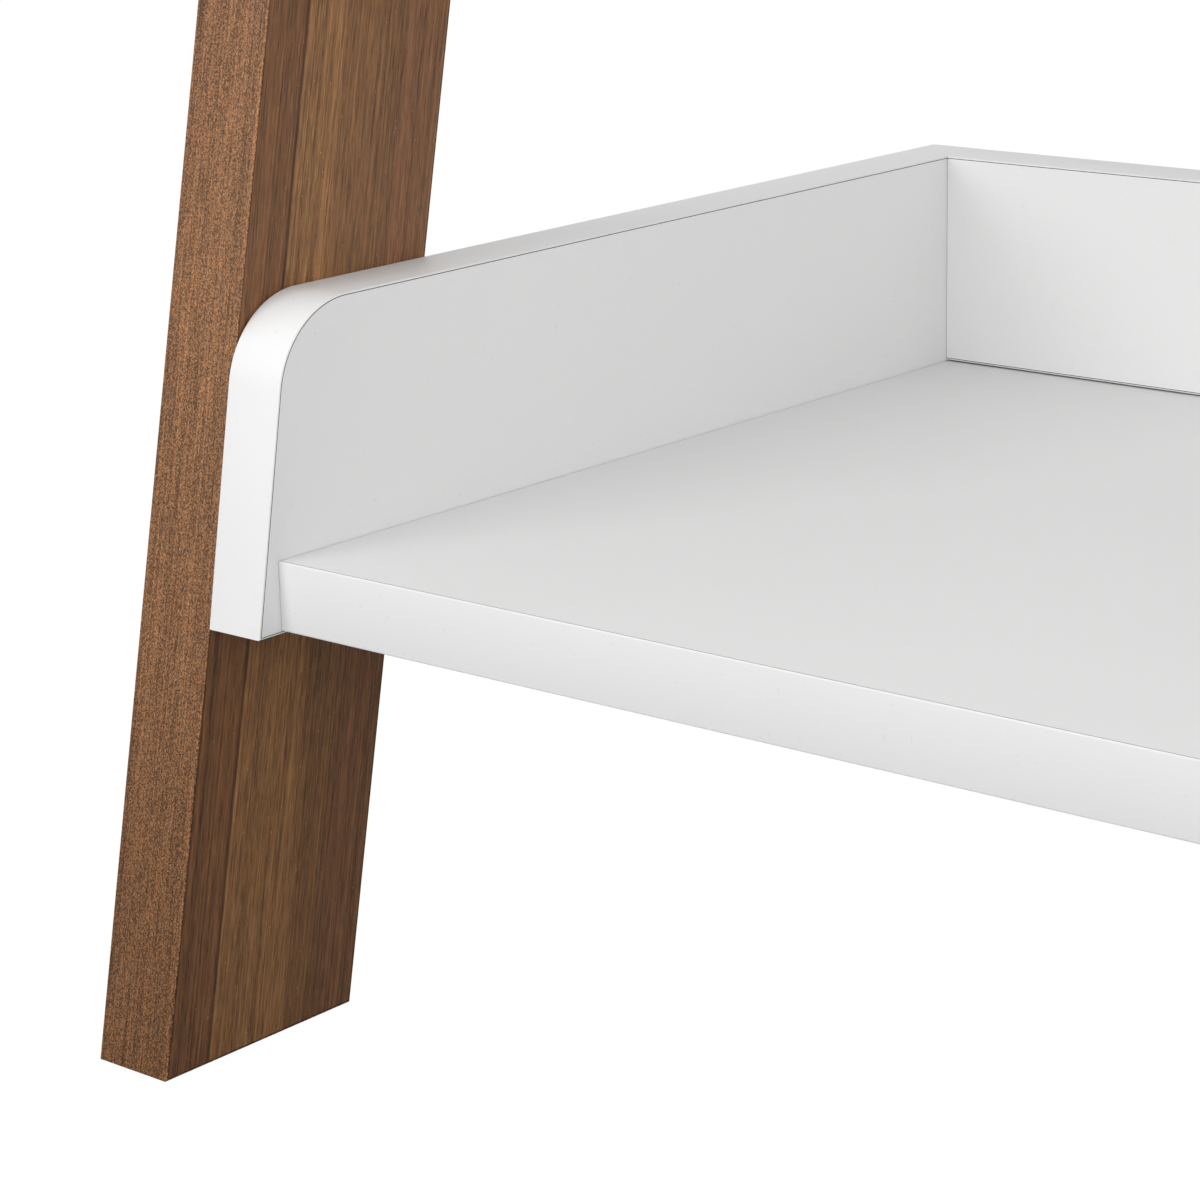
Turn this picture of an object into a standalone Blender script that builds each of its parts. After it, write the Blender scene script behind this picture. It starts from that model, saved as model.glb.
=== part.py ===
"""Leaning ladder shelf.

Two raked legs stand on the floor and lean on a wall. Four open trays sit between them, each one
shallower than the tray below, so that all the backs line up just in front of the wall. A tray is a
shelf board, two sides with a rounded front corner and a back, joined by glued tongues in stopped
grooves. Bolts go through the legs from outside into threaded inserts in the tray sides. Angle
brackets tie the tops of the legs to the wall, and nylon glides stand under the feet.

Frame: +Z up, +Y towards the wall, +X to the right of someone who faces the shelf. The origin is on
the floor, midway between the legs and midway between the legs' toes and the wall.
"""
import math

import bmesh
import bpy
from mathutils import Matrix, Vector

# Whole shelf (metres, radians)
HEIGHT = 1.450                       # floor to the tops of the legs
WIDTH = 0.620                        # over the outer faces of the legs
LEAN = math.radians(11.5)            # rake of the legs from upright
WALL_CUT = 0.108                     # height of the upright face that rests on the wall
GAP = 0.0003                         # play left wherever two pieces touch
ARRIS = 0.0006                       # softened edge of every board

# Legs
LEG_THICK = 0.025
LEG_WIDTH = 0.066                    # across the board, square to its length

# Trays
TRAYS = 4
TRAY_ABOVE_FEET = 0.115              # leg bottom to the lowest tray's bottom edge
TOP_TRAY_DROP = 0.283                # leg top to the top tray's bottom edge
WALL_GAP = 0.002                     # tray backs to the wall
SIDE_PROUD = 0.0003                  # side's lower front corner ahead of the leg's front face
BOARD = 0.018                        # shelf board, sides and back
SIDE_HEIGHT = 0.082
SIDE_STEEPER = math.radians(1.3)     # how much steeper the sides' front edge stands than the legs
CORNER_RADIUS = 0.025                # upper front corner of the sides
CORNER_STEPS = 12
SHELF_LIFT = 0.0008                  # shelf's underside above the sides' bottom edge
SHELF_SETBACK = 0.0078               # shelf's front behind the sides' lower front corner
BACK_LIFT = 0.0004                   # open joint between the shelf and the back

# Tongues in stopped grooves
TONGUE_DEPTH = 0.006
TONGUE_THICK = 0.006
SHELF_TONGUE_STOP = 0.020            # tongue ends short of the shelf's front and rear edge
BACK_TONGUE_STOP = 0.010             # tongue ends short of the back's top and bottom edge

# Bolts through the legs, and the inserts that they screw into
BOLT_OVER_SHELF = 0.010              # lower bolt above the shelf's top face
BOLT_UNDER_TOP = 0.018               # upper bolt below the sides' top edge
BOLT_RADIUS = 0.0030
BOLT_BITE = 0.0094                   # shank inside the insert
BOLT_HEAD_RADIUS = 0.0075
BOLT_HEAD_THICK = 0.0022
BOLT_SOCKET = 0.0020                 # half the width across the flats of the hexagon socket
BOLT_SOCKET_DEPTH = 0.0030
BOLT_HOLE_RADIUS = 0.0036
INSERT_RADIUS = 0.0050
INSERT_LENGTH = 0.013
INSERT_FLANGE_RADIUS = 0.0060
INSERT_FLANGE_THICK = 0.0012
INSERT_BORE_RADIUS = 0.0034
INSERT_PLAY = 0.0004                 # between an insert and its hole, round and at the end
EDGE_CHAMFER = 0.0004                # on turned metal

# Wall brackets and their screws
BRACKET_THICK = 0.002
BRACKET_HEIGHT = 0.040
BRACKET_LEG_ARM = 0.032              # arm along the leg's inner face
BRACKET_WALL_ARM = 0.028             # arm along the wall
BRACKET_BEND = 0.0015                # inside radius of the bend
BRACKET_BEND_STEPS = 4
BRACKET_SCREW_PITCH = 0.022
SCREW_FROM_WALL = 0.020
WALL_HOLE_FROM_BEND = 0.016
WALL_HOLE_RADIUS = 0.0026
SCREW_RADIUS = 0.0017
SCREW_HOLE_RADIUS = 0.0022
SCREW_LENGTH = 0.016
SCREW_HEAD_RADIUS = 0.0035
SCREW_HEAD_THICK = 0.0020
SCREW_SHOULDER_RADIUS = 0.0033       # where the head starts to round over
SCREW_SHOULDER_THICK = 0.0014
SCREW_CROWN_RADIUS = 0.0025          # flat on top of the head
SCREW_RECESS_DEPTH = 0.0012
SCREW_RECESS_ARM = 0.0019
SCREW_RECESS_HALF_WIDTH = 0.00056
SCREW_POINT_LENGTH = 0.0026
SCREW_POINT_RADIUS = 0.00026

# Glides under the feet
GLIDE_RADIUS = 0.007
GLIDE_THICK = 0.002
GLIDE_INSET = 0.016                  # centre behind the toe, and ahead of the heel
GLIDE_PIN_RADIUS = 0.0012
GLIDE_PIN_LENGTH = 0.012
GLIDE_PIN_POINT_RADIUS = 0.00024
PIN_HOLE_RADIUS = 0.0016

ROUND_SIDES = 12                     # sides of every turned piece and round hole
HOLE_OVERRUN = 0.004                 # a cutter runs this far past the face that it opens
TINY = 1e-9                          # two places closer than this are the same
SMOOTH_UNDER = math.radians(30)      # turned faces that meet at less than this are shaded as one

# Sizes that follow
FOOT = GLIDE_THICK + GAP
LEG_RUN = LEG_WIDTH / math.cos(LEAN)
SIDE_RAKE = LEAN - SIDE_STEEPER
BOLT_LENGTH = LEG_THICK + 2 * GAP + BOLT_BITE
DEPTH = LEG_RUN + (HEIGHT - WALL_CUT - FOOT) * math.tan(LEAN)
TOE_Y = -DEPTH / 2
WALL_Y = DEPTH / 2
LEG_INNER = WIDTH / 2 - LEG_THICK
SIDE_OUTER = LEG_INNER - GAP
SIDE_INNER = SIDE_OUTER - BOARD
TRAY_REAR = WALL_Y - WALL_GAP
FIRST_TRAY_Z = FOOT + TRAY_ABOVE_FEET
TRAY_PITCH = (HEIGHT - TOP_TRAY_DROP - FIRST_TRAY_Z) / (TRAYS - 1)
BRACKET_Z = HEIGHT - WALL_CUT / 2
HANDS = (("left", -1), ("right", 1))


def material(name, colour, roughness, metallic=0.0):
    """A plain finish: colour, roughness and metallic value."""
    made = bpy.data.materials.new(name)
    made.use_nodes = True
    shader = made.node_tree.nodes["Principled BSDF"]
    shader.inputs["Base Color"].default_value = (*colour, 1.0)
    shader.inputs["Roughness"].default_value = roughness
    shader.inputs["Metallic"].default_value = metallic
    made.diffuse_color = (*colour, 1.0)
    return made


def new_object(name, shape, finish=None):
    """Closes a bmesh into a named object with its faces pointing out."""
    bmesh.ops.recalc_face_normals(shape, faces=shape.faces)
    mesh = bpy.data.meshes.new(name)
    shape.to_mesh(mesh)
    shape.free()
    if finish:
        mesh.materials.append(finish)
    made = bpy.data.objects.new(name, mesh)
    bpy.context.scene.collection.objects.link(made)
    return made


def slab(outline, low_x, high_x, arris=0.0):
    """Extrudes a (y, z) outline from low_x to high_x, and softens both rims by arris."""
    shape = bmesh.new()
    face = shape.faces.new([shape.verts.new((low_x, y, z)) for y, z in outline])
    grown = bmesh.ops.extrude_face_region(shape, geom=[face])["geom"]
    moved = [item for item in grown if isinstance(item, bmesh.types.BMVert)]
    bmesh.ops.translate(shape, verts=moved, vec=(high_x - low_x, 0, 0))
    if arris:
        rims = [edge for edge in shape.edges if abs(edge.verts[0].co.x - edge.verts[1].co.x) < TINY]
        bmesh.ops.bevel(shape, geom=rims, offset=arris, segments=1, affect="EDGES")
    return shape


def block(low, high, arris=0.0):
    """A box between two corners, with its edges softened by arris."""
    shape = bmesh.new()
    size = Vector(high) - Vector(low)
    centre = (Vector(high) + Vector(low)) / 2
    bmesh.ops.create_cube(shape, size=1.0, matrix=Matrix.Translation(centre) @ Matrix.Diagonal((*size, 1)))
    if arris:
        bmesh.ops.bevel(shape, geom=list(shape.edges), offset=arris, segments=1, affect="EDGES")
    return shape


def turned(rings, ring_closed=False):
    """A body about local X. Each ring is (x, radius), or (x, function of the angle).

    The ends are capped, or the last ring joins the first one to leave a bore.
    """
    shape = bmesh.new()
    angles = [math.tau * step / ROUND_SIDES for step in range(ROUND_SIDES)]
    loops = []
    for x, radius in rings:
        radii = [radius(angle) if callable(radius) else radius for angle in angles]
        loops.append([shape.verts.new((x, r * math.cos(a), r * math.sin(a))) for r, a in zip(radii, angles)])
    pairs = list(zip(loops, loops[1:]))
    if ring_closed:
        pairs.append((loops[-1], loops[0]))
    else:
        shape.faces.new(loops[0])
        shape.faces.new(loops[-1])
    for first, second in pairs:
        for step in range(ROUND_SIDES):
            after = (step + 1) % ROUND_SIDES
            shape.faces.new((first[step], first[after], second[after], second[step]))
    return shape


def hexagon(half_width):
    """Radius of a hexagon with the given half width across its flats, by angle."""
    sixth = math.pi / 3
    return lambda angle: half_width / math.cos(angle % sixth - sixth / 2)


def cross(arm, half_width):
    """Radius of a cross recess with four arms, by angle."""
    quarter = math.pi / 2

    def radius(angle):
        off_axis = abs((angle + quarter / 2) % quarter - quarter / 2)
        side = half_width / math.sin(off_axis) if off_axis > TINY else arm
        return min(arm, side)

    return radius


def rounded_metal(mesh):
    """Smooth shading on turned faces, with the rims left sharp."""
    mesh.shade_smooth()
    mesh.set_sharp_from_angle(angle=SMOOTH_UNDER)


def hide_tool(tool):
    """Marks an object as a cutter, which is no piece of the shelf."""
    tool.hide_render = True
    tool.display_type = "WIRE"


def combine(body, tools, operation):
    """Cuts tools from a body, or fuses them to it, with one live Boolean."""
    joined = bmesh.new()
    for tool in tools:
        mesh = bpy.data.meshes.new("tool_part")
        bmesh.ops.recalc_face_normals(tool, faces=tool.faces)
        tool.to_mesh(mesh)
        tool.free()
        joined.from_mesh(mesh)
        bpy.data.meshes.remove(mesh)
    tool_object = new_object(body.name + "_tool_" + operation.lower(), joined)
    hide_tool(tool_object)
    modifier = body.modifiers.new(operation.title(), "BOOLEAN")
    modifier.operation = operation
    modifier.solver = "EXACT"
    modifier.object = tool_object


def drill(axis, centre, radius, start, end):
    """A round cutter along axis "X", "Y" or "Z" from start to end, through centre's other two places."""
    shape = turned([(start, radius), (end, radius)])
    turn = {"X": Matrix.Identity(4),
            "Y": Matrix.Rotation(math.pi / 2, 4, "Z"),
            "Z": Matrix.Rotation(-math.pi / 2, 4, "Y")}[axis]
    place = Vector(centre)
    place["XYZ".index(axis)] = 0.0
    bmesh.ops.transform(shape, matrix=Matrix.Translation(place) @ turn, verts=shape.verts)
    return shape


def leg_front(z):
    """Y of the legs' front face at a height."""
    return TOE_Y + (z - FOOT) * math.tan(LEAN)


def leg_middle(z):
    """Y of the legs' centre line at a height."""
    return leg_front(z) + LEG_RUN / 2


def tray_floor(number):
    """Height of a tray's bottom edge; the lowest tray is number 1."""
    return FIRST_TRAY_Z + (number - 1) * TRAY_PITCH


def side_front(number):
    """Y of the lower front corner of a tray's sides."""
    return leg_front(tray_floor(number)) - SIDE_PROUD


def shelf_top(number):
    """Height of a tray's shelf surface."""
    return tray_floor(number) + SHELF_LIFT + BOARD


def bolt_heights(number):
    """Heights of the two bolts that hold each end of a tray."""
    low = shelf_top(number) + BOLT_OVER_SHELF
    high = tray_floor(number) + SIDE_HEIGHT - BOLT_UNDER_TOP
    return (("low", low), ("high", high))


def make_leg(hand, sign, finish):
    """A raked board, cut level at the foot and the top and upright where it meets the wall."""
    outline = [(TOE_Y, FOOT), (TOE_Y + LEG_RUN, FOOT), (WALL_Y, HEIGHT - WALL_CUT),
               (WALL_Y, HEIGHT), (leg_front(HEIGHT), HEIGHT)]
    low_x, high_x = sorted((sign * LEG_INNER, sign * WIDTH / 2))
    leg = new_object(hand + "_leg", slab(outline, low_x, high_x, ARRIS), finish)
    holes = []
    for number in range(1, TRAYS + 1):
        for _, z in bolt_heights(number):
            holes.append(drill("X", (0, leg_middle(z), z), BOLT_HOLE_RADIUS,
                               low_x - HOLE_OVERRUN, high_x + HOLE_OVERRUN))
    screw_end = sign * (LEG_INNER + SCREW_LENGTH)
    for _, z in screw_heights():
        holes.append(drill("X", (0, WALL_Y - SCREW_FROM_WALL, z), SCREW_HOLE_RADIUS,
                           *sorted((sign * (LEG_INNER - HOLE_OVERRUN), screw_end))))
    for _, y in glide_places():
        holes.append(drill("Z", (sign * leg_centre_x(), y, 0), PIN_HOLE_RADIUS,
                           FOOT - HOLE_OVERRUN, FOOT + GLIDE_PIN_LENGTH + GAP))
    combine(leg, holes, "DIFFERENCE")


def leg_centre_x():
    """Distance of a leg's middle from the shelf's middle."""
    return WIDTH / 2 - LEG_THICK / 2


def glide_places():
    """Y of the two glides under a foot."""
    return (("front", TOE_Y + GLIDE_INSET), ("rear", TOE_Y + LEG_RUN - GLIDE_INSET))


def screw_heights():
    """Heights of the two screws that hold a bracket to its leg."""
    return (("low", BRACKET_Z - BRACKET_SCREW_PITCH / 2), ("high", BRACKET_Z + BRACKET_SCREW_PITCH / 2))


def side_outline(number):
    """Tray side in (y, z): raked front edge, arc into the level top, upright rear edge."""
    bottom = tray_floor(number)
    top = bottom + SIDE_HEIGHT
    front = side_front(number)
    centre_z = top - CORNER_RADIUS
    centre_y = front + (centre_z - bottom) * math.tan(SIDE_RAKE) + CORNER_RADIUS / math.cos(SIDE_RAKE)
    points = [(front, bottom)]
    start = math.pi - SIDE_RAKE
    for step in range(CORNER_STEPS + 1):
        angle = start + (math.pi / 2 - start) * step / CORNER_STEPS
        points.append((centre_y + CORNER_RADIUS * math.cos(angle), centre_z + CORNER_RADIUS * math.sin(angle)))
    return points + [(TRAY_REAR, top), (TRAY_REAR, bottom)]


def shelf_tongue(number):
    """Low and high (y, z) corners of the tongue on a shelf's ends."""
    middle = tray_floor(number) + SHELF_LIFT + BOARD / 2
    front = side_front(number) + SHELF_SETBACK + SHELF_TONGUE_STOP
    return ((front, middle - TONGUE_THICK / 2), (TRAY_REAR - SHELF_TONGUE_STOP, middle + TONGUE_THICK / 2))


def back_tongue(number):
    """Low and high (y, z) corners of the tongue on a back's ends."""
    middle = TRAY_REAR - BOARD / 2
    low = shelf_top(number) + BACK_LIFT + BACK_TONGUE_STOP
    high = tray_floor(number) + SIDE_HEIGHT - BACK_TONGUE_STOP
    return ((middle - TONGUE_THICK / 2, low), (middle + TONGUE_THICK / 2, high))


def tongue_blocks(corners):
    """The two tongues at a board's ends, reaching back into the board so that they fuse."""
    (low_y, low_z), (high_y, high_z) = corners
    tip = SIDE_INNER + TONGUE_DEPTH - GAP
    root = SIDE_INNER - TONGUE_DEPTH
    return [block((root, low_y, low_z), (tip, high_y, high_z)),
            block((-tip, low_y, low_z), (-root, high_y, high_z))]


def groove_block(corners, sign):
    """The groove in a tray side that takes a tongue with play all round."""
    (low_y, low_z), (high_y, high_z) = corners
    low_x, high_x = sorted((sign * (SIDE_INNER - HOLE_OVERRUN), sign * (SIDE_INNER + TONGUE_DEPTH)))
    return block((low_x, low_y - GAP, low_z - GAP), (high_x, high_y + GAP, high_z + GAP))


def make_side(number, hand, sign, finish):
    """A tray side: grooved inside for the shelf and the back, drilled outside for the inserts."""
    low_x, high_x = sorted((sign * SIDE_INNER, sign * SIDE_OUTER))
    side = new_object(f"tray_{number}_{hand}_side", slab(side_outline(number), low_x, high_x, ARRIS), finish)
    cuts = [groove_block(shelf_tongue(number), sign), groove_block(back_tongue(number), sign)]
    mouth = SIDE_OUTER + HOLE_OVERRUN
    flange_seat = SIDE_OUTER - INSERT_FLANGE_THICK - INSERT_PLAY
    hole_end = SIDE_OUTER - INSERT_LENGTH - INSERT_PLAY
    for _, z in bolt_heights(number):
        rings = [(sign * mouth, INSERT_FLANGE_RADIUS + INSERT_PLAY),
                 (sign * flange_seat, INSERT_FLANGE_RADIUS + INSERT_PLAY),
                 (sign * flange_seat, INSERT_RADIUS + INSERT_PLAY),
                 (sign * hole_end, INSERT_RADIUS + INSERT_PLAY)]
        hole = turned(rings)
        bmesh.ops.translate(hole, verts=hole.verts, vec=(0, leg_middle(z), z))
        cuts.append(hole)
    combine(side, cuts, "DIFFERENCE")


def make_shelf(number, finish):
    """The shelf board, between the sides and under the back, with a tongue on each end."""
    bottom = tray_floor(number) + SHELF_LIFT
    end = SIDE_INNER - GAP
    low = (-end, side_front(number) + SHELF_SETBACK, bottom)
    shelf = new_object(f"tray_{number}_shelf", block(low, (end, TRAY_REAR, bottom + BOARD), ARRIS), finish)
    combine(shelf, tongue_blocks(shelf_tongue(number)), "UNION")


def make_back(number, finish):
    """The back board, between the sides and on the shelf, flush with the sides' top edge."""
    end = SIDE_INNER - GAP
    low = (-end, TRAY_REAR - BOARD, shelf_top(number) + BACK_LIFT)
    high = (end, TRAY_REAR, tray_floor(number) + SIDE_HEIGHT)
    back = new_object(f"tray_{number}_back", block(low, high, ARRIS), finish)
    combine(back, tongue_blocks(back_tongue(number)), "UNION")


def bolt_mesh(finish):
    """A connector bolt along local X: flat head with a hexagon socket outside, shank inwards."""
    socket = hexagon(BOLT_SOCKET)
    shape = turned([
        (BOLT_HEAD_THICK - BOLT_SOCKET_DEPTH, socket),
        (BOLT_HEAD_THICK, socket),
        (BOLT_HEAD_THICK, BOLT_HEAD_RADIUS - EDGE_CHAMFER),
        (BOLT_HEAD_THICK - EDGE_CHAMFER, BOLT_HEAD_RADIUS),
        (0, BOLT_HEAD_RADIUS),
        (0, BOLT_RADIUS),
        (EDGE_CHAMFER - BOLT_LENGTH, BOLT_RADIUS),
        (-BOLT_LENGTH, BOLT_RADIUS - EDGE_CHAMFER),
    ])
    return keep_mesh("leg_bolt", shape, finish)


def insert_mesh(finish):
    """A threaded insert along local X: flange outside, plain body, bore right through."""
    inner_end = -INSERT_LENGTH
    shape = turned([
        (0, INSERT_BORE_RADIUS),
        (0, INSERT_FLANGE_RADIUS),
        (-INSERT_FLANGE_THICK, INSERT_FLANGE_RADIUS),
        (-INSERT_FLANGE_THICK, INSERT_RADIUS),
        (inner_end + EDGE_CHAMFER, INSERT_RADIUS),
        (inner_end, INSERT_RADIUS - EDGE_CHAMFER),
        (inner_end, INSERT_BORE_RADIUS),
    ], ring_closed=True)
    return keep_mesh("threaded_insert", shape, finish)


def screw_mesh(finish):
    """A pan-head screw along local X: cross recess, plain shank and a point."""
    recess = cross(SCREW_RECESS_ARM, SCREW_RECESS_HALF_WIDTH)
    shape = turned([
        (SCREW_HEAD_THICK - SCREW_RECESS_DEPTH, recess),
        (SCREW_HEAD_THICK, recess),
        (SCREW_HEAD_THICK, SCREW_CROWN_RADIUS),
        (SCREW_SHOULDER_THICK, SCREW_SHOULDER_RADIUS),
        (0, SCREW_HEAD_RADIUS),
        (0, SCREW_RADIUS),
        (SCREW_POINT_LENGTH - SCREW_LENGTH, SCREW_RADIUS),
        (-SCREW_LENGTH, SCREW_POINT_RADIUS),
    ])
    return keep_mesh("bracket_screw", shape, finish)


def glide_mesh(finish):
    """A nail-on glide along local X, which points up: a flat disc and its pin."""
    shape = turned([
        (0, GLIDE_RADIUS - EDGE_CHAMFER),
        (EDGE_CHAMFER, GLIDE_RADIUS),
        (GLIDE_THICK, GLIDE_RADIUS),
        (GLIDE_THICK, GLIDE_PIN_RADIUS),
        (GLIDE_THICK + GLIDE_PIN_LENGTH - GLIDE_PIN_RADIUS, GLIDE_PIN_RADIUS),
        (GLIDE_THICK + GLIDE_PIN_LENGTH, GLIDE_PIN_POINT_RADIUS),
    ])
    return keep_mesh("foot_glide", shape, finish)


def keep_mesh(name, shape, finish):
    """Turns a bmesh into a mesh that several objects share."""
    bmesh.ops.recalc_face_normals(shape, faces=shape.faces)
    mesh = bpy.data.meshes.new(name)
    shape.to_mesh(mesh)
    shape.free()
    mesh.materials.append(finish)
    rounded_metal(mesh)
    return mesh


def place(name, mesh, location, outward):
    """Puts a shared mesh in place with its local X along outward."""
    made = bpy.data.objects.new(name, mesh)
    made.location = location
    made.rotation_euler = Vector(outward).to_track_quat("X", "Z").to_euler()
    bpy.context.scene.collection.objects.link(made)


def make_bracket(hand, sign, finish):
    """An angle bracket: one arm on the leg's inner face, the other flat on the wall."""
    outer = sign * (LEG_INNER - GAP)
    inward = -sign
    thick = BRACKET_THICK
    bend = BRACKET_BEND

    def at(from_leg, from_wall):
        return (outer + inward * from_leg, WALL_Y - from_wall)

    points = [at(bend + thick, 0), at(BRACKET_WALL_ARM, 0), at(BRACKET_WALL_ARM, thick)]
    for step in range(BRACKET_BEND_STEPS + 1):
        angle = math.pi / 2 * step / BRACKET_BEND_STEPS
        points.append(at(thick + bend - bend * math.sin(angle), thick + bend - bend * math.cos(angle)))
    points += [at(thick, BRACKET_LEG_ARM), at(0, BRACKET_LEG_ARM)]
    full = bend + thick
    for step in range(BRACKET_BEND_STEPS):
        angle = math.pi / 2 * step / BRACKET_BEND_STEPS
        points.append(at(full - full * math.cos(angle), full - full * math.sin(angle)))
    shape = bmesh.new()
    low_z = BRACKET_Z - BRACKET_HEIGHT / 2
    face = shape.faces.new([shape.verts.new((x, y, low_z)) for x, y in points])
    grown = bmesh.ops.extrude_face_region(shape, geom=[face])["geom"]
    moved = [item for item in grown if isinstance(item, bmesh.types.BMVert)]
    bmesh.ops.translate(shape, verts=moved, vec=(0, 0, BRACKET_HEIGHT))
    bracket = new_object("wall_bracket_" + hand, shape, finish)
    low_x, high_x = sorted((outer - inward * HOLE_OVERRUN, outer + inward * (thick + HOLE_OVERRUN)))
    holes = [drill("X", (0, WALL_Y - SCREW_FROM_WALL, z), SCREW_HOLE_RADIUS, low_x, high_x)
             for _, z in screw_heights()]
    hole_x = outer + inward * WALL_HOLE_FROM_BEND
    holes.append(drill("Y", (hole_x, 0, BRACKET_Z), WALL_HOLE_RADIUS,
                       WALL_Y - thick - HOLE_OVERRUN, WALL_Y + HOLE_OVERRUN))
    combine(bracket, holes, "DIFFERENCE")


for old in list(bpy.data.objects):
    bpy.data.objects.remove(old, do_unlink=True)

WALNUT = material("walnut", (0.30, 0.15, 0.075), 0.55)
WHITE = material("white_laminate", (0.80, 0.80, 0.80), 0.45)
BRONZE = material("bronzed_steel", (0.10, 0.075, 0.055), 0.4, 1.0)
ZINC = material("zinc", (0.62, 0.62, 0.60), 0.35, 1.0)
BRACKET = material("bracket_paint", (0.72, 0.72, 0.72), 0.4)
NYLON = material("nylon", (0.06, 0.045, 0.035), 0.5)

BOLT = bolt_mesh(BRONZE)
INSERT = insert_mesh(ZINC)
SCREW = screw_mesh(ZINC)
GLIDE = glide_mesh(NYLON)

for hand, sign in HANDS:
    make_leg(hand, sign, WALNUT)
    for end, y in glide_places():
        place(f"foot_glide_{hand}_{end}", GLIDE, (sign * leg_centre_x(), y, 0), (0, 0, 1))
    make_bracket(hand, sign, BRACKET)
    for level, z in screw_heights():
        head_seat = sign * (LEG_INNER - BRACKET_THICK - 2 * GAP)
        place(f"bracket_screw_{hand}_{level}", SCREW, (head_seat, WALL_Y - SCREW_FROM_WALL, z), (-sign, 0, 0))

for number in range(1, TRAYS + 1):
    make_shelf(number, WHITE)
    make_back(number, WHITE)
    for hand, sign in HANDS:
        make_side(number, hand, sign, WHITE)
        for level, z in bolt_heights(number):
            label = f"{number}_{hand}_{level}"
            place("leg_bolt_" + label, BOLT, (sign * (WIDTH / 2 + GAP), leg_middle(z), z), (sign, 0, 0))
            place("insert_" + label, INSERT, (sign * SIDE_OUTER, leg_middle(z), z), (sign, 0, 0))
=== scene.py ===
"""Leaning ladder shelf: two raked walnut-look legs carry four white trays of edge-banded board."""
import math

import bpy
import numpy as np
from mathutils import Matrix, Vector


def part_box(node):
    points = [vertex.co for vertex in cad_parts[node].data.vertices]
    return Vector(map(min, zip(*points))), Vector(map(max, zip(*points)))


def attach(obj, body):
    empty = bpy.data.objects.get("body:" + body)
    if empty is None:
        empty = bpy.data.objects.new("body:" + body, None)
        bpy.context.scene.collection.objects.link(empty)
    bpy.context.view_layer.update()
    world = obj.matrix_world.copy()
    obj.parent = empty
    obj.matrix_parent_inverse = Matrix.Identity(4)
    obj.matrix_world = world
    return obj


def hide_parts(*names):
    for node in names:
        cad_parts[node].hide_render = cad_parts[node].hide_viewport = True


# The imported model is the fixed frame. Every new piece takes its place from the boxes of its solids.
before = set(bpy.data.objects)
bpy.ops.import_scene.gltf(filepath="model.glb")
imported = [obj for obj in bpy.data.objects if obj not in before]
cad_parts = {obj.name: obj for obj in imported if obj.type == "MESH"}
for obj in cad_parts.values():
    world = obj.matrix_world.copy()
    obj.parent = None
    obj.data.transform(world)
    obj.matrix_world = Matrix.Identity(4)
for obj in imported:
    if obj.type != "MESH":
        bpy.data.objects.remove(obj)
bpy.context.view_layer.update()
BODY = "root"


# ---- The two legs ----------------------------------------------------------------------------
# Each leg is a 25 mm board faced with walnut-look laminate, sawn level at the floor and the top and
# upright where it rests on the wall. A thin matching band is glued round the sawn edges.
LEG_LEAN = math.radians(11.5)        # from upright
LEG_BOARD_WIDTH = 0.066
EDGE_BAND = 0.00055                  # thickness of the glued band
GLUE_SEAM = 0.00010                  # half the width of the fine seam between band and face
SEAM_DEPTH = 0.00025
FACE_RIM = 0.0016                    # the flat face's own border, inside the seam
ARRIS_RADIUS = 0.00040
ARRIS_STEPS = 4
FACE_FINISH, BAND_FINISH, SEAM_FINISH, RAW_FINISH = range(4)    # a board's finishes, in this order
SHARP_ABOVE = math.radians(32)       # edges that turn more than this stay crisp


def add_piece(name, points, faces, finishes, face_finish=None):
    """Puts points and faces into a mesh object at the origin, smooth between its crisp edges."""
    mesh = bpy.data.meshes.new(name)
    mesh.from_pydata(points.reshape(-1, 3).tolist(), [], faces)
    if face_finish is not None:
        mesh.polygons.foreach_set("material_index", face_finish)
    for finish in finishes:
        mesh.materials.append(finish)
    mesh.shade_smooth()
    mesh.set_sharp_from_angle(angle=SHARP_ABOVE)
    piece = bpy.data.objects.new(name, mesh)
    bpy.context.scene.collection.objects.link(piece)
    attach(piece, BODY)
    return piece


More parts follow.
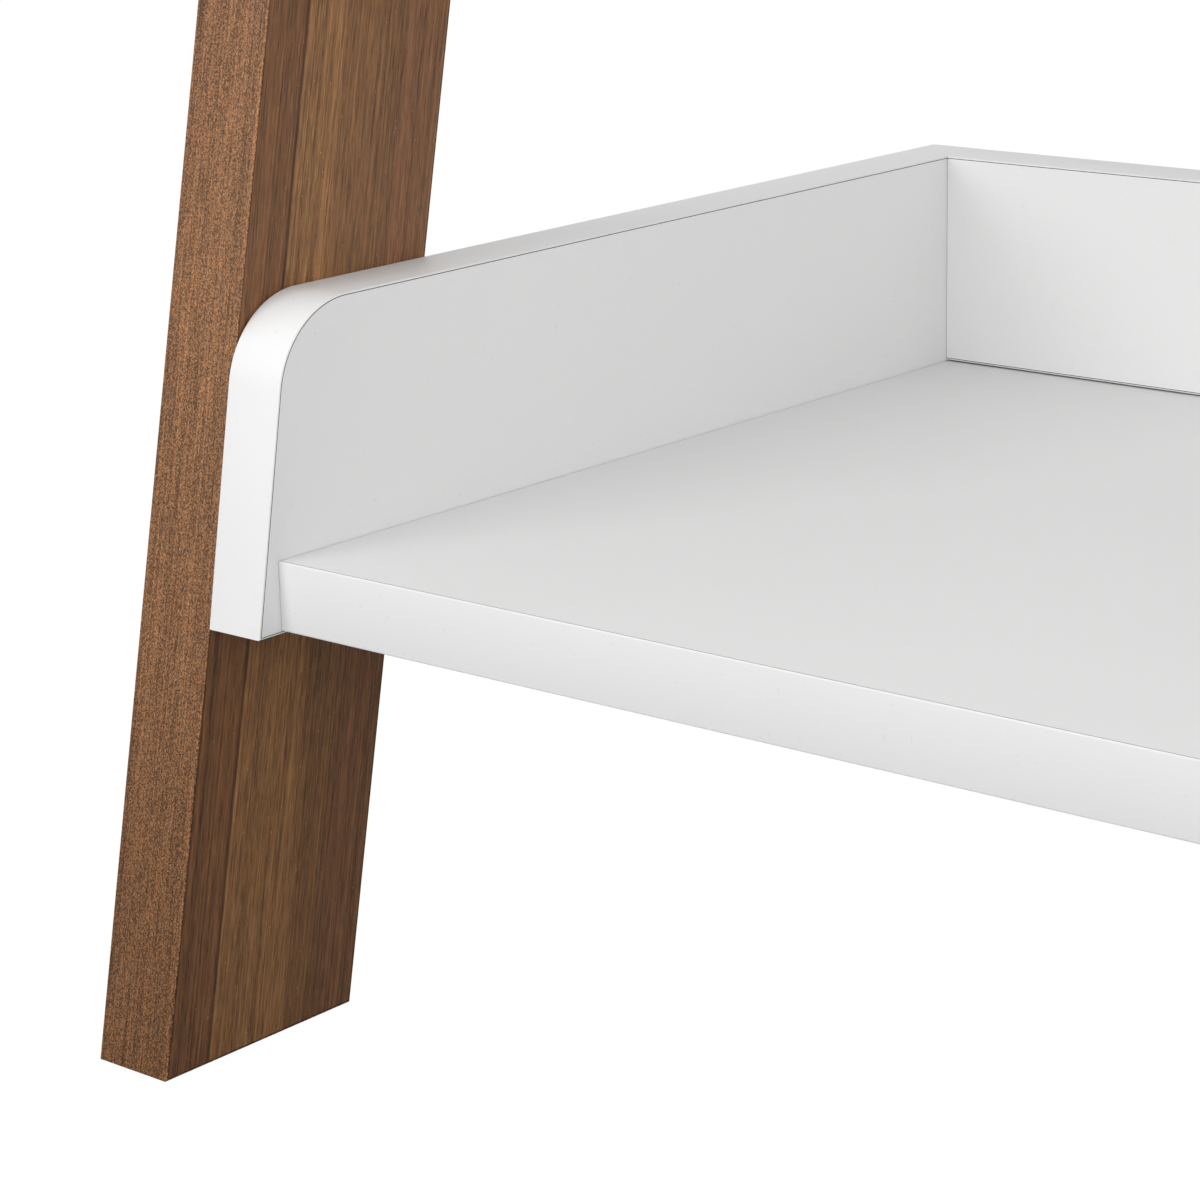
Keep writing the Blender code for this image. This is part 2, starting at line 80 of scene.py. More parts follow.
def banded_board(name, outline, low, high, axis, finishes, square=None, raw=None):
    """A closed board with a glued edge band, from low to high along its thickness axis.

    The outline is a convex loop of (u, v) points, where u and v are the two directions that follow
    the thickness axis in X, Y, Z order. A profile of (inset, depth) points runs from one flat face
    over the seam, the quarter-round arris, the band and the other arris to the other face. Point k
    of the ring at inset i lies at corner k plus i times that corner's mitre, the sum of its two
    inward edge normals over one plus their dot product. The two innermost rings are filled. With
    square, 0 for u or 1 for v, nothing is inset along that direction, so its ends stay sawn square.
    With raw, the sawn edge that lies lowest along that direction has no band.
    """
    corners = np.array(outline, float)
    u, v = corners.T
    if (u * np.roll(v, -1) - v * np.roll(u, -1)).sum() < 0:
        corners = corners[::-1]
    after = np.roll(corners, -1, axis=0) - corners
    after /= np.linalg.norm(after, axis=1)[:, None]
    normal_after = np.stack([-after[:, 1], after[:, 0]], axis=1)
    normal_before = np.roll(normal_after, 1, axis=0)
    mitre = (normal_before + normal_after) / (1 + (normal_before * normal_after).sum(1))[:, None]
    if square is not None:
        mitre[:, square] = 0
    arc = np.linspace(0, math.pi / 2, ARRIS_STEPS + 1)
    inset = np.concatenate([[FACE_RIM, EDGE_BAND + GLUE_SEAM, EDGE_BAND, EDGE_BAND - GLUE_SEAM],
                            ARRIS_RADIUS * (1 - np.sin(arc))])
    depth = np.concatenate([[0, 0, SEAM_DEPTH, 0], ARRIS_RADIUS * (1 - np.cos(arc))])
    insets = np.concatenate([inset, inset[::-1]])
    levels = np.concatenate([high - depth, low + depth[::-1]])
    rings, around = len(insets), len(corners)
    flat = corners[None] + insets[:, None, None] * mitre[None]
    points = np.empty((rings, around, 3))
    points[..., axis] = levels[:, None]
    points[..., (axis + 1) % 3] = flat[..., 0]
    points[..., (axis + 2) % 3] = flat[..., 1]
    index = np.arange(rings * around).reshape(rings, around)
    beside = np.roll(index, -1, axis=1)
    quads = np.stack([index[:-1], index[1:], beside[1:], beside[:-1]], axis=-1)
    quad_finish = np.full((rings - 1, around), BAND_FINISH)
    quad_finish[[0, -1]] = FACE_FINISH                  # the rims of the two flat faces
    quad_finish[[1, 2, -2, -3]] = SEAM_FINISH           # both slopes of the two seams
    if raw is not None:                                 # the middle strip of the lowest edge
        edge_place = (corners + np.roll(corners, -1, axis=0))[:, raw]
        quad_finish[(rings - 1) // 2, edge_place.argmin()] = RAW_FINISH
    faces = [index[0].tolist()] + quads.reshape(-1, 4).tolist() + [index[-1][::-1].tolist()]
    face_finish = np.concatenate([[FACE_FINISH], quad_finish.ravel(), [FACE_FINISH]])
    return add_piece(name, points, faces, finishes, face_finish)


class Socket:
    """A shader socket that takes part in Python expressions, each of which adds a Math node."""

    def __init__(self, graph, output):
        self.graph = graph
        self.output = output

    def math(self, operation, *others, swap=False):
        """Adds a Math node that takes this value and then the others, or swapped round."""
        values = [self, *others][::-1] if swap else [self, *others]
        return self.graph.node("ShaderNodeMath", {"operation": operation}, dict(enumerate(values)))

    def __add__(self, other):
        return self.math("ADD", other)

    def __sub__(self, other):
        return self.math("SUBTRACT", other)

    def __mul__(self, other):
        return self.math("MULTIPLY", other)

    def __rsub__(self, other):
        return self.math("SUBTRACT", other, swap=True)

    __radd__ = __add__
    __rmul__ = __mul__


class Graph:
    """A node tree, with one method that makes every node."""

    def __init__(self, tree):
        self.tree = tree

    def node(self, kind, settings, inputs, output=0):
        """Makes a node: its settings first, then its sockets' values or links."""
        made = self.tree.nodes.new(kind)
        for name, value in settings.items():
            setattr(made, name, value)
        for name, value in inputs.items():
            self.feed(made.inputs[name], value)
        return Socket(self, made.outputs[output])

    def feed(self, socket, value):
        """Links a socket, or sets its value."""
        if isinstance(value, Socket):
            self.tree.links.new(value.output, socket)
        else:
            socket.default_value = value


class Finish(Graph):
    """One material, with a Principled shader and the patterns that feed it."""

    def __init__(self, name, **constants):
        self.material = bpy.data.materials.new(name)
        self.material.use_nodes = True
        super().__init__(self.material.node_tree)
        self.shader = self.tree.nodes["Principled BSDF"]
        self.set(**constants)

    def place(self):
        """Object coordinates, as three numbers."""
        spot = self.node("ShaderNodeTexCoord", {}, {}, output="Object")
        split = self.node("ShaderNodeSeparateXYZ", {}, {0: spot}).output.node
        return [Socket(self, output) for output in split.outputs]

    def noise(self, x, y, z, detail=2.0, rough=0.5):
        """Smooth noise from 0 to 1 at a place that is given in pattern lengths."""
        place = self.node("ShaderNodeCombineXYZ", {}, {0: x, 1: y, 2: z})
        return self.node("ShaderNodeTexNoise", {},
                         {"Vector": place, "Scale": 1.0, "Detail": detail, "Roughness": rough})

    def step(self, value, start, end):
        """A smooth rise from 0 to 1 as value goes from start to end."""
        return self.node("ShaderNodeMapRange", {"interpolation_type": "SMOOTHSTEP"},
                         {0: value, 1: start, 2: end, 3: 0.0, 4: 1.0})

    def mix(self, factor, first, second, blend="MIX"):
        """Mixes two colours."""
        first, second = [c if isinstance(c, Socket) else (*c, 1.0) for c in (first, second)]
        return self.node("ShaderNodeMix", {"data_type": "RGBA", "blend_type": blend},
                         {0: factor, 6: first, 7: second}, output=2)

    def shade(self, colour, amount):
        """Multiplies a colour by a number."""
        grey = self.node("ShaderNodeCombineColor", {}, {0: amount, 1: amount, 2: amount})
        return self.mix(1.0, colour, grey, "MULTIPLY")

    def bump(self, height, distance, strength):
        """Raises the surface by height times distance, in metres, as strongly as strength says."""
        self.set(normal=self.node("ShaderNodeBump", {},
                                  {"Height": height, "Distance": distance, "Strength": strength}))

    def set(self, **values):
        """Feeds the shader's own sockets, by their names in lower case."""
        for name, value in values.items():
            title = name.replace("_", " ").title().replace("Ior", "IOR")
            self.feed(self.shader.inputs[title], value)
        return self.material


WALNUT_DARK = (0.178, 0.078, 0.030)
WALNUT_LIGHT = (0.268, 0.128, 0.048)
WALNUT_MID = (0.202, 0.095, 0.037)
WALNUT_RED = (0.184, 0.080, 0.036)
BAND_BROWN = (0.203, 0.096, 0.040)
BAND_RED = (0.190, 0.085, 0.037)
WALNUT_GLUE = (0.045, 0.022, 0.013)
PRINT_GAIN = 1.05                    # lifts both prints by the same share
STAVE_DARK = 0.0140                  # width of the dark stave along the leg's front
STAVE_LIGHT = 0.0375                 # where the light stave ends at the foot
STAVE_TAPER = 0.040                  # and how fast it narrows going up
STAVE_WANDER = 0.005                 # sideways drift of the staves' joints
STAVE_BLUR = 0.0006                  # width over which one stave turns into the next
SEAM_START, SEAM_END = 0.0012, 0.0001    # the dark seam, so far in front of the light stave
HEART_FROM, HEART_FULL = 0.046, 0.052    # the red stave near the leg's rear comes in
HEART_PALER, HEART_PALE = 0.0585, 0.0595    # and pales again
ARRIS_HIGHLIGHT_FROM, ARRIS_HIGHLIGHT_FULL = 0.0006, 0.0002  # the band's arris, in from the broad face, where a highlight is painted
leg_low, leg_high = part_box("left_leg")
LEG_TOE_Y, LEG_FOOT_Z, LEG_TOP_Z, WALL_Y = leg_low[1], leg_low[2], leg_high[2], leg_high[1]
LEG_MID_X, LEG_HALF = abs(leg_low[0] + leg_high[0]) / 2, (leg_high[0] - leg_low[0]) / 2


def walnut_face():
    """Broad faces: staves with sharp joints along the leg, fine streaks, pores and bright flecks.

    Each noise takes its place as patterns to a metre across and along the grain. The tone is 1
    plus the streaks, times one less than the pores, seams and lines, plus the flecks.
    """
    finish = Finish("walnut_face", roughness=0.5, specular_ior_level=0.32)
    x, y, z = finish.place()
    across = (y - LEG_TOE_Y) * math.cos(LEG_LEAN) - (z - LEG_FOOT_Z) * math.sin(LEG_LEAN)
    along = y * math.sin(LEG_LEAN) + z * math.cos(LEG_LEAN)
    face = x * 37.0                  # the two faces of a leg get patterns of their own
    bent = across + (finish.noise(across * 14, along * 2.6, face) - 0.5) * STAVE_WANDER
    light = finish.step(bent, STAVE_DARK, STAVE_DARK + STAVE_BLUR)
    light_end = STAVE_LIGHT - along * STAVE_TAPER
    light_out = finish.step(bent - light_end, -STAVE_BLUR, 0.0010)
    pale = finish.step(bent, HEART_PALER, HEART_PALE)
    heart = finish.step(bent, HEART_FROM, HEART_FULL) * (1 - pale * 0.6)
    colour = finish.mix(light, WALNUT_DARK, WALNUT_LIGHT)
    colour = finish.mix(light_out, colour, WALNUT_MID)
    colour = finish.mix(heart * 0.8, colour, WALNUT_RED)
    broad = finish.noise(bent * 260, along * 1.5, face, 3.0, 0.6)
    streak = finish.noise(bent * 1700, along * 5.0, face, 2.0, 0.6)
    fine = finish.noise(bent * 3600, along * 150.0, face, 2.0, 0.7)
    pore = finish.step(finish.noise(bent * 2800, along * 42, face, 1.0), 0.60, 0.70)
    fleck = finish.step(finish.noise(bent * 1800 + 7, along * 1300, face, 0.0), 0.85, 0.87)
    line = finish.step(finish.noise(bent * 640, along * 0.9, face + 5, 1.0), 0.64, 0.70)
    seam = finish.step(bent, STAVE_DARK - SEAM_START, STAVE_DARK - SEAM_END) * (1 - light)
    tone = 1 + (broad - 0.5) * 0.6 + (streak - 0.5) * 1.5 + (fine - 0.5) * 2.4
    tone = tone * (1 - pore * 0.26) * (1 - seam * 0.50) * (1 - line * 0.22) + fleck * 1.1
    finish.bump(fine * 0.8 - pore, 0.00008, 0.7)
    return finish.set(base_color=finish.shade(colour, tone * PRINT_GAIN),
                      roughness=0.40 + fine * 0.2)


def walnut_band():
    """The band on the leg's narrow faces: a streaked veneer print with an open, sandy tooth.

    The arris, where x is within half a millimetre or so of a broad face, carries a painted highlight.
    """
    finish = Finish("walnut_band", roughness=0.5, specular_ior_level=0.25)
    x, y, z = finish.place()
    along = y * math.sin(LEG_LEAN) + z * math.cos(LEG_LEAN)
    side = (y * math.cos(LEG_LEAN) - z * math.sin(LEG_LEAN)) * 20
    streak = finish.noise(x * 1900, along * 26, side, 2.0, 0.6)
    broad = finish.noise(x * 260, along * 2.6, side, 2.0)
    tooth = finish.noise(x * 3700, along * 2400, side * 60, 0.0)
    pore = finish.step(finish.noise(x * 1700, along * 65, side, 1.0), 0.60, 0.72)
    fleck = finish.step(finish.noise(x * 2600 + 3, along * 2200, side * 60, 0.0), 0.80, 0.84)
    patch = finish.noise(x * 40, along * 9, side, 1.0)
    off_centre = (x.math("ABSOLUTE") - LEG_MID_X).math("ABSOLUTE")
    # painted highlight: the band's colour is lifted along its arris, next to each broad face
    arris_highlight = finish.step(off_centre, LEG_HALF - ARRIS_HIGHLIGHT_FROM, LEG_HALF - ARRIS_HIGHLIGHT_FULL)
    colour = finish.mix(patch, BAND_BROWN, BAND_RED)
    tone = 1 + (broad - 0.5) * 0.6 + (streak - 0.5) * 2.0 + (tooth - 0.5) * 3.5
    # the arris term paints a highlight, up to 30 percent lighter, along the band's edges
    tone = (tone * (1 - pore * 0.38)).math("MAXIMUM", 0.40) * (1 + arris_highlight * 0.30) + fleck * 0.7
    finish.bump(tooth - pore * 0.7, 0.00012, 0.9)
    return finish.set(base_color=finish.shade(colour, tone * PRINT_GAIN),
                      roughness=0.38 + tooth * 0.24)


def glue_seam(name, colour):
    """The hairline of glue between a band and its board, uneven over a centimetre or so."""
    finish = Finish(name, roughness=0.7)
    x, y, z = finish.place()
    patch = finish.noise(x * 90, y * 90, z * 90, 2.0)
    return finish.set(base_color=finish.shade(colour, 0.7 + patch * 0.6))


WALNUT = [walnut_face(), walnut_band(), glue_seam("walnut_seam", WALNUT_GLUE)]
HANDS = {"left": -1, "right": 1}
leg_run = LEG_BOARD_WIDTH / math.cos(LEG_LEAN)
leg_slope = math.tan(LEG_LEAN)
leg_outline = [(LEG_TOE_Y, LEG_FOOT_Z), (LEG_TOE_Y + leg_run, LEG_FOOT_Z),
               (WALL_Y, LEG_FOOT_Z + (WALL_Y - LEG_TOE_Y - leg_run) / leg_slope),
               (WALL_Y, LEG_TOP_Z),
               (LEG_TOE_Y + (LEG_TOP_Z - LEG_FOOT_Z) * leg_slope, LEG_TOP_Z)]
for hand in HANDS:
    low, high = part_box(hand + "_leg")
    leg = banded_board("leg_" + hand, leg_outline, low[0], high[0], 0, WALNUT)
    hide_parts(hand + "_leg")


# ---- The four trays --------------------------------------------------------------------------
# A tray is four boards of 18 mm particle board, faced with white laminate that has a fine pebble
# texture, and edge-banded in the same white. The glue line shows as a dark hair beside each band.
SIDE_RAKE = math.radians(10.2)       # of a side's front edge, from upright
CORNER_RADIUS = 0.025
CORNER_STEPS = 24
JOINT_PLAY = 0.00014                 # open hairline between a side and the boards that meet it
TRAYS = 4
WHITE_TINT = (0.80, 0.80, 0.80)
WHITE_GLUE = (0.055, 0.054, 0.052)   # the glue line, dark with dust
CHIP_DARK = (0.020, 0.017, 0.014)    # particle board in its sawn edge
CHIP_PALE = (0.075, 0.062, 0.050)


def white_laminate(name, pebble):
    """White melamine: shallow pebbles under a millimetre across, a few specks, faint clouding."""
    finish = Finish(name, roughness=0.5, specular_ior_level=0.4)
    x, y, z = finish.place()
    grains = finish.noise(x * 1500, y * 1500, z * 1500, 2.0, 0.6)
    cloud = finish.noise(x * 9, y * 9, z * 9, 3.0)
    speck = finish.step(finish.noise(x * 700 + 5, y * 700, z * 700, 0.0), 0.82, 0.86)
    tone = (0.965 + grains * 0.04 * pebble + cloud * 0.03) * (1 - speck * 0.06)
    finish.bump(grains, 0.00006, 0.85 * pebble)
    return finish.set(base_color=finish.shade(WHITE_TINT, tone), roughness=0.40 + grains * 0.18)


def particle_board():
    """Raw sawn edge: pressed chips from pale to dark brown."""
    finish = Finish("particle_board", roughness=0.85)
    x, y, z = finish.place()
    chips = finish.noise(x * 300, y * 900, z * 900, 3.0, 0.7)
    finish.bump(chips, 0.0002, 0.8)
    return finish.set(base_color=finish.mix(finish.step(chips, 0.35, 0.65), CHIP_DARK, CHIP_PALE))


def side_outline(low, high):
    """A side in (y, z): raked front edge, an arc of CORNER_RADIUS into the level top, upright rear.

    The arc's centre is one radius below the top, and one radius square off the raked edge.
    """
    centre_z = high[2] - CORNER_RADIUS
    edge_y = low[1] + (centre_z - low[2]) * math.tan(SIDE_RAKE)
    centre_y = edge_y + CORNER_RADIUS / math.cos(SIDE_RAKE)
    angle = np.linspace(math.pi - SIDE_RAKE, math.pi / 2, CORNER_STEPS + 1)
    arc = np.stack([centre_y + CORNER_RADIUS * np.cos(angle),
                    centre_z + CORNER_RADIUS * np.sin(angle)], axis=1)
    return [(low[1], low[2]), *arc.tolist(), (high[1], high[2]), (high[1], low[2])]


WHITE = [white_laminate("white_laminate_face", 1.0), white_laminate("white_edge_band", 0.5),
         glue_seam("white_seam", WHITE_GLUE), particle_board()]
for number in range(1, TRAYS + 1):
    for hand in HANDS:
        node = f"tray_{number}_{hand}_side"
        low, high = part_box(node)
        side = banded_board(f"side_{number}_{hand}", side_outline(low, high), low[0], high[0], 0,
                            WHITE)
        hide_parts(node)
    inner = abs(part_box(f"tray_{number}_left_side")[1][0]) - JOINT_PLAY
    low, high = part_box(f"tray_{number}_shelf")
    outline = [(-inner, low[1]), (inner, low[1]), (inner, high[1]), (-inner, high[1])]
    shelf = banded_board(f"shelf_{number}", outline, low[2], high[2], 2, WHITE, square=0)
    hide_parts(f"tray_{number}_shelf")
    low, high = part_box(f"tray_{number}_back")
    outline = [(low[2], -inner), (high[2], -inner), (high[2], inner), (low[2], inner)]
    back = banded_board(f"back_{number}", outline, low[1], high[1], 1, WHITE, square=1, raw=0)
    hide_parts(f"tray_{number}_back")


# ---- Bolts and threaded inserts --------------------------------------------------------------
# Flat-headed M6 connector bolts in dark bronze plating go in from outside, and screw into zinc
# inserts with a coarse outer thread that are pressed into the tray sides.
TURN_STEPS = 48
BOLT_HEAD = 0.0022                   # thickness of the head
BOLT_ROUND = ((0, 0.0009), (0.0002, 0.0004), (0.0005, 0.0001), (0.0009, 0))    # (drop, inset)
BOLT_SHANK = 0.0030                  # radius, and of the thread's crests
BOLT_PLAIN = 0.020                   # from the head's face to the end of the plain shank
BOLT_PITCH = 0.001
BOLT_THREAD = 0.0005                 # depth of the thread
BOLT_TIP = 0.0008
KEY_DEPTH = 0.0030                   # the hexagon recess
KEY_HALF = 0.0020
KEY_LEAD = 0.0002
KEY_FLOOR = 0.0006                   # radius of the small flat that closes a recess
INSERT_BORE = 0.0034
INSERT_FLANGE = 0.0012
INSERT_ROOT, INSERT_CREST = 0.0043, 0.0050
INSERT_PITCH = 0.0020
INSERT_LEAD = 0.0008                 # length of the tapered end
INSERT_TIP = 0.0040
EDGE_BREAK = 0.0002
BRONZE_COLOUR = (0.11, 0.080, 0.058)
ZINC_COLOUR = (0.62, 0.63, 0.64)
RUBBED_GAIN = 2.2                    # a rubbed spot is this much brighter than its plating


def turned_piece(name, profile, centre, outward, finish, node, bored=False):
    """A turned body: profile points (distance along outward, radius) carried round the axis.

    A radius may be a function of the angle, such as a hexagon's. The ends are filled, or with
    bored the last ring joins the first. A ridge is one more pair of points in the profile.
    """
    basis = np.array(Vector(outward).to_track_quat("X", "Z").to_matrix())
    angle = np.linspace(0, math.tau, TURN_STEPS, endpoint=False)
    radii = np.array([r(angle) if callable(r) else np.full(TURN_STEPS, r) for _, r in profile])
    places = np.broadcast_to([[place] for place, _ in profile], radii.shape)
    local = np.stack([places, radii * np.cos(angle), radii * np.sin(angle)], axis=-1)
    points = local @ basis.T + np.array(centre)
    index = np.arange(radii.size).reshape(radii.shape)
    start, end = (index, np.roll(index, -1, axis=0)) if bored else (index[:-1], index[1:])
    quads = np.stack([start, end, np.roll(end, -1, axis=1), np.roll(start, -1, axis=1)], axis=-1)
    faces = quads.reshape(-1, 4).tolist()
    if not bored:
        faces += [index[0].tolist(), index[-1][::-1].tolist()]
    piece = add_piece(name, points, faces, [finish])
    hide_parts(node)


def end_centre(low, high, sign):
    """The middle of a box's end face, on the right for sign 1 and on the left for sign -1."""
    return (high[0] if sign > 0 else low[0]), (low[1] + high[1]) / 2, (low[2] + high[2]) / 2


def hexagon(half_flat):
    """Radius of a hexagon by angle: half its width across flats over the cosine from the flat."""
    return lambda angle: half_flat / np.cos(angle % (math.pi / 3) - math.pi / 6)


def thread(start, end, first, second, pitch):
    """Saw-tooth profile points from start to end: two radii in turn, half a pitch apart."""
    turns = int(abs(end - start) / pitch)
    places = np.linspace(start, end, 2 * turns + 1)
    return np.stack([places, np.where(np.arange(places.size) % 2, second, first)], axis=1)


def plated(name, colour, rough, wear):
    """Plated steel: fine turning marks, slight clouding and small rubbed spots."""
    finish = Finish(name, metallic=1.0, roughness=rough)
    x, y, z = finish.place()
    cloud = finish.noise(x * 160, y * 160, z * 160, 3.0)
    marks = finish.noise(x * 4000, y * 700, z * 700, 2.0)
    rubbed = finish.step(finish.noise(x * 500, y * 500, z * 500, 3.0), 0.62, 0.72)
    bright = tuple(min(1.0, part * RUBBED_GAIN) for part in colour)
    tone = finish.mix(rubbed * wear, colour, bright)
    finish.bump(marks, 0.00002, 0.4)
    return finish.set(base_color=finish.shade(tone, 0.8 + cloud * 0.4),
                      roughness=rough - 0.08 + cloud * 0.2)


BRONZE = plated("bronzed_steel_finish", BRONZE_COLOUR, 0.36, 0.35)
ZINC = plated("zinc_finish", ZINC_COLOUR, 0.34, 0.15)
FASTENINGS = [(f"{number}_{hand}_{level}", sign) for number in range(1, TRAYS + 1)
              for hand, sign in HANDS.items() for level in ("low", "high")]
for label, sign in FASTENINGS:
    low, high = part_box("leg_bolt_" + label)
    length, head = high[0] - low[0], (high[2] - low[2]) / 2
    profile = [(-KEY_DEPTH, KEY_FLOOR), (-KEY_DEPTH, hexagon(KEY_HALF)),
               (-KEY_LEAD, hexagon(KEY_HALF)), (0, hexagon(KEY_HALF + KEY_LEAD)),
               *[(-drop, head - inset) for drop, inset in BOLT_ROUND],
               (-BOLT_HEAD, head), (-BOLT_HEAD, BOLT_SHANK), (-BOLT_PLAIN, BOLT_SHANK),
               *thread(-BOLT_PLAIN - BOLT_PITCH, BOLT_TIP - length, BOLT_SHANK,
                       BOLT_SHANK - BOLT_THREAD, BOLT_PITCH),
               (-length, BOLT_SHANK - BOLT_TIP)]
    turned_piece("bolt_" + label, profile, end_centre(low, high, sign), (sign, 0, 0), BRONZE,
                 "leg_bolt_" + label)
    low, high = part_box("insert_" + label)
    length, flange = high[0] - low[0], (high[2] - low[2]) / 2
    profile = [(0, INSERT_BORE), (0, flange - EDGE_BREAK), (-EDGE_BREAK, flange),
               (-INSERT_FLANGE, flange), (-INSERT_FLANGE, INSERT_ROOT),
               *thread(-INSERT_FLANGE - INSERT_LEAD, INSERT_LEAD - length, INSERT_ROOT,
                       INSERT_CREST, INSERT_PITCH),
               (-length, INSERT_TIP), (-length, INSERT_BORE)]
    turned_piece("threaded_insert_" + label, profile, end_centre(low, high, sign), (sign, 0, 0),
                 ZINC, "insert_" + label, bored=True)


# ---- Wall brackets and their screws ----------------------------------------------------------
# A white powder-coated steel angle sits inside the top of each leg. Two pan-head screws hold it to
# the leg, and its other arm takes the screw that ties the shelf to the wall.
SCREW_HEAD = 0.0020                  # height of the pan
SCREW_SHANK, SCREW_ROOT = 0.0017, 0.0012
SCREW_NECK = 0.0030                  # from the head's top to the first crest
SCREW_PITCH = 0.0014
SCREW_POINT = 0.003                  # length of the point
SCREW_TIP = 0.0002
DOME_STEPS = 7
DOME_START = 0.62                    # angle from the axis where the dome meets the recess
RECESS_DEPTH = 0.0014
RECESS_ARM, RECESS_HALF = 0.0019, 0.00055
RECESS_FLOOR = 0.0004
POWDER_DULL = (0.70, 0.70, 0.70)
POWDER_BRIGHT = (0.76, 0.76, 0.755)


def powder_coat():
    """Powder coat: a fine orange peel with slight clouding."""
    finish = Finish("powder_coat", roughness=0.4)
    x, y, z = finish.place()
    peel = finish.noise(x * 900, y * 900, z * 900, 2.0)
    cloud = finish.noise(x * 30, y * 30, z * 30, 2.0)
    finish.bump(peel, 0.00008, 0.5)
    colour = finish.mix(cloud, POWDER_DULL, POWDER_BRIGHT)
    return finish.set(base_color=finish.shade(colour, 0.97 + peel * 0.05),
                      roughness=0.34 + peel * 0.14)


def cross_recess(arm, half_width):
    """Radius of a cross recess by angle: the arm's tip, or the arm's flank where that is nearer."""
    def radius(angle):
        off = np.abs((angle + math.pi / 4) % (math.pi / 2) - math.pi / 4)
        return np.minimum(arm, half_width / np.maximum(np.sin(off), 1e-3))
    return radius


POWDER = powder_coat()
RECESS = cross_recess(RECESS_ARM, RECESS_HALF)
for hand, sign in HANDS.items():
    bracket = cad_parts["wall_bracket_" + hand]
    bracket.data.materials.clear()
    bracket.data.materials.append(POWDER)
    for level in ("low", "high"):
        label = f"{hand}_{level}"
        low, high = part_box("bracket_screw_" + label)
        length, head = high[0] - low[0], (high[2] - low[2]) / 2
        slope = np.linspace(DOME_START, math.pi / 2, DOME_STEPS)
        dome = np.stack([-SCREW_HEAD * (1 - np.cos(slope)), head * np.sin(slope)], axis=1)
        profile = [(-RECESS_DEPTH, RECESS_FLOOR), (-RECESS_DEPTH, RECESS), (dome[0, 0], RECESS),
                   *dome, (-SCREW_HEAD, SCREW_SHANK),
                   *thread(-SCREW_NECK, SCREW_POINT - length, SCREW_SHANK, SCREW_ROOT,
                           SCREW_PITCH),
                   (-length, SCREW_TIP)]
        turned_piece("screw_" + label, profile, end_centre(low, high, -sign), (-sign, 0, 0), ZINC,
                     "bracket_screw_" + label)


# ---- Glides under the feet -------------------------------------------------------------------
# Dark moulded nylon discs, each with a pin that is knocked up into the foot.
GLIDE_ROUND = ((0, 0.0006), (0.0001, 0.0003), (0.0004, 0))    # (rise, inset) of the lower rim
GLIDE_THICK = 0.0020
GLIDE_PIN = 0.0012                   # radius
GLIDE_PIN_PLAIN = 0.0128             # where the pin's point begins
GLIDE_PIN_TIP = 0.0002
NYLON_DARK = (0.050, 0.038, 0.030)
NYLON_PALE = (0.070, 0.052, 0.042)


def moulded_nylon():
    """Moulded nylon: satin, with a fine even grain."""
    finish = Finish("moulded_nylon", roughness=0.5)
    x, y, z = finish.place()
    grain = finish.noise(x * 1800, y * 1800, z * 1800, 2.0)
    finish.bump(grain, 0.00004, 0.5)
    return finish.set(base_color=finish.mix(grain, NYLON_DARK, NYLON_PALE),
                      roughness=0.44 + grain * 0.16)


NYLON = moulded_nylon()
for node in [f"foot_glide_{hand}_{end}" for hand in HANDS for end in ("front", "rear")]:
    low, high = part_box(node)
    disc = (high[0] - low[0]) / 2
    centre = ((low[0] + high[0]) / 2, (low[1] + high[1]) / 2, low[2])
    profile = [*[(-rise, disc - inset) for rise, inset in GLIDE_ROUND],
               (EDGE_BREAK - GLIDE_THICK, disc), (-GLIDE_THICK, disc - EDGE_BREAK),
               (-GLIDE_THICK, GLIDE_PIN), (-GLIDE_PIN_PLAIN, GLIDE_PIN),
               (low[2] - high[2], GLIDE_PIN_TIP)]
    turned_piece(node.replace("foot_", ""), profile, centre, (0, 0, -1), NYLON, node)


# ---- Floor, light and camera -----------------------------------------------------------------
# A plain pale studio floor. Light comes from a large softbox in front on the left, two weaker ones
# further right and an even sky. A low dark card in front keeps some of it off the feet.
FLOOR_REACH = 12.0
FLOOR_GREY = 0.50
FLOOR_GLOW = 0.93                    # share of plain white in what the camera sees of the floor
GLOW_STRENGTH = 1.06
CARD_GREY = 0.02
CARD_REACH, CARD_HEIGHT, CARD_Y = 1.6, 0.172, -0.52
SKY = 0.80
PLAIN_WHITE = (1, 1, 1, 1)


def seen_only(graph, usual, seen, share, out):
    """Rays straight from the camera see share of a second shader, and all other rays see none."""
    ray = graph.node("ShaderNodeLightPath", {}, {}, output="Is Camera Ray")
    mixed = graph.node("ShaderNodeMixShader", {}, {0: ray * share, 1: usual, 2: seen})
    graph.feed(graph.tree.nodes[out].inputs["Surface"], mixed)


def stage_sheet(name, corners, grey):
    """A flat matt sheet of the studio, which is no part of the shelf."""
    mesh = bpy.data.meshes.new(name)
    mesh.from_pydata(corners, [], [(0, 1, 2, 3)])
    sheet = bpy.data.objects.new(name, mesh)
    bpy.context.scene.collection.objects.link(sheet)
    finish = Finish(name + "_finish", roughness=0.9, specular_ior_level=0.0,
                    base_color=(grey, grey, grey, 1))
    mesh.materials.append(finish.material)
    return sheet, finish


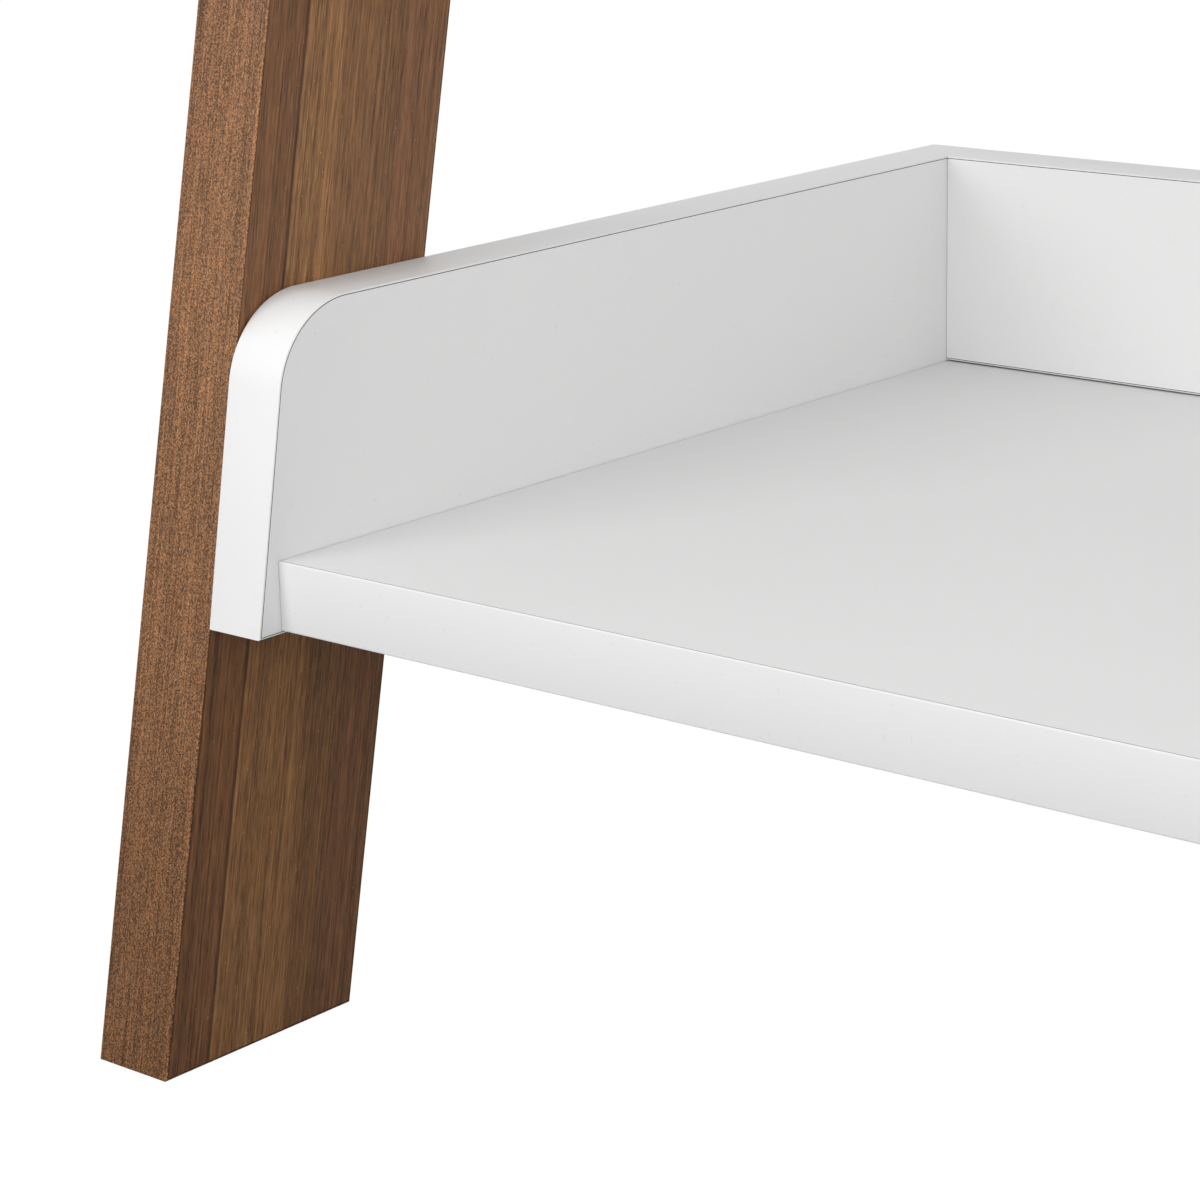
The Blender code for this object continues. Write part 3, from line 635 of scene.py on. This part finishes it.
_, matt = stage_sheet("floor", [(-FLOOR_REACH, -FLOOR_REACH, 0), (FLOOR_REACH, -FLOOR_REACH, 0),
                                (FLOOR_REACH, FLOOR_REACH, 0), (-FLOOR_REACH, FLOOR_REACH, 0)],
                      FLOOR_GREY)
seen_only(matt, Socket(matt, matt.shader.outputs[0]),
          matt.node("ShaderNodeEmission", {}, {"Strength": GLOW_STRENGTH}), FLOOR_GLOW,
          "Material Output")
card, _ = stage_sheet("dark_card", [(-CARD_REACH, CARD_Y, 0), (CARD_REACH, CARD_Y, 0),
                                    (CARD_REACH, CARD_Y, CARD_HEIGHT),
                                    (-CARD_REACH, CARD_Y, CARD_HEIGHT)], CARD_GREY)
card.visible_camera = False

world = bpy.data.worlds.new("studio")
bpy.context.scene.world = world
world.use_nodes = True
studio = Graph(world.node_tree)
seen_only(studio, studio.node("ShaderNodeBackground", {}, {"Color": PLAIN_WHITE, "Strength": SKY}),
          studio.node("ShaderNodeBackground", {}, {"Color": PLAIN_WHITE}), 1.0, "World Output")
bpy.context.scene.view_settings.view_transform = "Standard"


def softbox(name, place, aim, size, power):
    """A square area light at place, facing aim."""
    data = bpy.data.lights.new(name, "AREA")
    data.shape = "SQUARE"
    data.size = size
    data.energy = power
    light = bpy.data.objects.new(name, data)
    light.location = place
    light.rotation_euler = (Vector(aim) - Vector(place)).to_track_quat("-Z", "Y").to_euler()
    bpy.context.scene.collection.objects.link(light)


softbox("left_softbox", (-0.8, -1.7, 0.85), (-0.2, -0.1, 0.25), 1.0, 13.5)
softbox("front_softbox", (0.6, -1.6, 0.6), (0.0, -0.1, 0.25), 1.0, 8)
softbox("side_softbox", (1.5, -0.9, 0.9), (0.0, 0.0, 0.25), 1.2, 4)

CAMERA_AT = (0.34276, -0.72916, 0.36298)
AZIMUTH = math.radians(40.543)
DIP = math.radians(15.785)
ROLL = math.radians(-1.319)
LENS = 105.78                        # millimetres, for a sensor 36 mm wide
forward = Vector((-math.sin(AZIMUTH) * math.cos(DIP), math.cos(AZIMUTH) * math.cos(DIP),
                  -math.sin(DIP)))
level = Vector((math.cos(AZIMUTH), math.sin(AZIMUTH), 0))
rise = level.cross(forward)
right = level * math.cos(ROLL) + rise * math.sin(ROLL)
above = rise * math.cos(ROLL) - level * math.sin(ROLL)
camera_data = bpy.data.cameras.new("camera")
camera_data.sensor_width = 36.0
camera_data.lens = LENS
camera_data.clip_start = 0.01
camera = bpy.data.objects.new("camera", camera_data)
bpy.context.scene.collection.objects.link(camera)
turn = Matrix((right, above, -forward)).transposed().to_4x4()
camera.matrix_world = Matrix.Translation(CAMERA_AT) @ turn
bpy.context.scene.camera = camera
